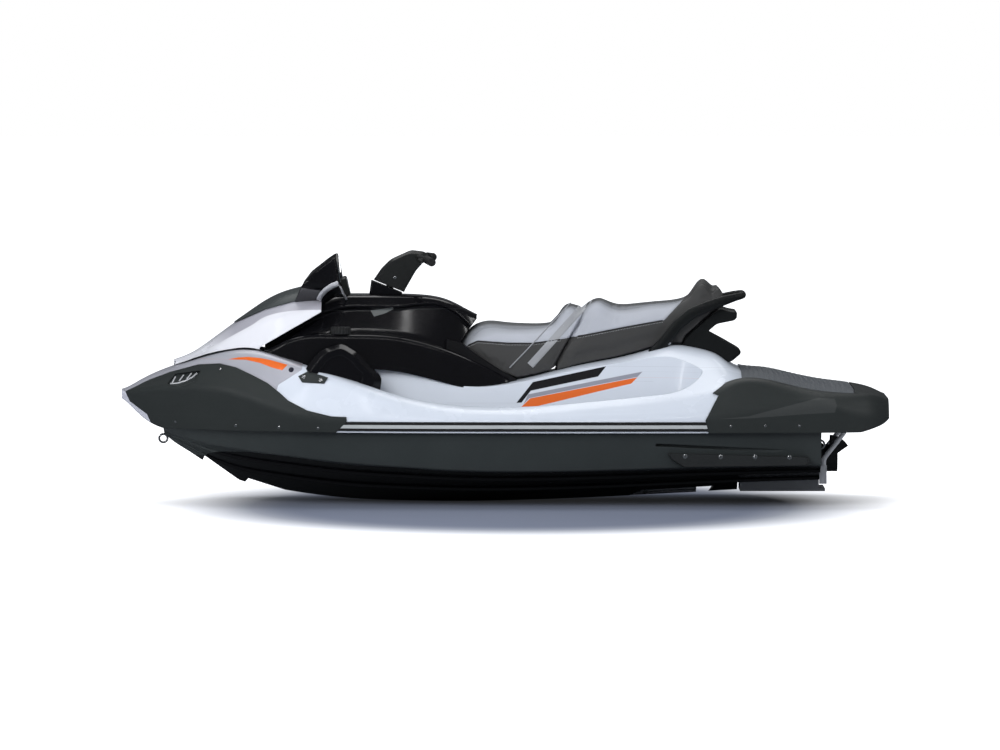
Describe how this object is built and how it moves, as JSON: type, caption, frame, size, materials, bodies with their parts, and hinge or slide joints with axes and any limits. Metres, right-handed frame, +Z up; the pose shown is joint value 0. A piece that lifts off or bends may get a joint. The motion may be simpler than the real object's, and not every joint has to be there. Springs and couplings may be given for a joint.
{
  "type": "personal watercraft",
  "caption": "Sit-on personal watercraft with a V hull, footwells, stepped seat, hinged bow hood with mirrors, handlebar steering, water-jet drive and folding boarding step.",
  "frame": {"origin": "amidships on the centreline, at the resting waterline", "axes": "+X towards the bow, +Y to port, +Z up"},
  "size_m": [3.145, 1.1758, 1.0314],
  "materials": {
    "hull_shell": "dark charcoal gelcoat",
    "deck_white": "pearl white gelcoat",
    "silver_panel": "silver metallic gelcoat",
    "bumper_grey": "grained dark grey",
    "black_rubber": "matt black",
    "stripe_grey": "smooth light grey",
    "console_black": "gloss black",
    "mirror_glass": "silvered",
    "seat_vinyl": "grained vinyl",
    "stainless": "polished stainless",
    "alloy": "cast alloy",
    "engine_iron": "painted casting",
    "bar_black": "satin black"
  },
  "bodies": {
    "root": {"air_pods": "console_black", "bow_bumper": "bumper_grey", "bow_eye": "stainless", "bow_trim": "stripe_grey", "console": "console_black", "deck": "deck_white", "deck_mats": "black_rubber", "engine": "engine_iron", "front_deck": "silver_panel", "front_seat": "seat_vinyl", "fuel_cap": "bumper_grey", "glove_hinge": "stainless", "grab_rail": "bumper_grey", "hood_hinge": "stainless", "hull": "hull_shell", "instrument_cluster": "console_black", "intake_grate": "alloy", "pump_housing": "alloy", "rail_inserts": "stripe_grey", "rear_seat": "seat_vinyl", "ride_plate": "alloy", "rub_rails": "black_rubber", "seat_end_cover": "bumper_grey", "side_cleats": "bumper_grey", "sponsons": "bumper_grey", "steering_column": "console_black", "step_brackets": "alloy", "stern_bumper": "bumper_grey", "stern_eyes": "stainless"},
    "handlebar_set": {"handlebar": "bar_black", "handle_pad": "console_black", "grips": "black_rubber", "levers": "bar_black"},
    "hood": {"hood": "deck_white", "hood_cowl": "console_black", "mirrors": "console_black", "mirror_glasses": "mirror_glass"},
    "glove_lid": {"glove_box_lid": "console_black"},
    "nozzle": {"steering_nozzle": "alloy"},
    "bucket": {"reverse_bucket": "alloy"},
    "step": {"boarding_step": "stainless"},
    "impeller": {"impeller": "stainless"}
  },
  "joints": [
    {"name": "steering", "type": "hinge", "parent": "root", "child": "handlebar_set", "pos_m": [0.48213, 0, 0.61223], "axis": [-0.3746, 0, 0.9272], "range_deg": [-22, 22]},
    {"name": "nozzle_steer", "type": "hinge", "parent": "root", "child": "nozzle", "pos_m": [-1.25486, 0, -0.06232], "axis": [0, 0, 1], "range_deg": [-20, 20]},
    {"name": "bucket_tilt", "type": "hinge", "parent": "nozzle", "child": "bucket", "pos_m": [-1.33986, 0, -0.06232], "axis": [0, -1, 0], "range_deg": [0, 60]},
    {"name": "step_fold", "type": "hinge", "parent": "root", "child": "step", "pos_m": [-1.30895, 0, -0.14538], "axis": [0, -1, 0], "range_deg": [0, 140]},
    {"name": "hood_hinge", "type": "hinge", "parent": "root", "child": "hood", "pos_m": [1.35235, 0, 0.33558], "axis": [0, 1, 0], "range_deg": [0, 60]},
    {"name": "glove_lid_hinge", "type": "hinge", "parent": "root", "child": "glove_lid", "pos_m": [0.30978, 0, 0.59873], "axis": [0, 1, 0], "range_deg": [0, 65]},
    {"name": "impeller_spin", "type": "hinge", "parent": "root", "child": "impeller", "pos_m": [-1.1322, 0, -0.06232], "axis": [1, 0, 0], "continuous": true}
  ],
  "couplings": [
    {"joint": "nozzle_steer", "follows": "steering", "ratio": -0.9}
  ]
}
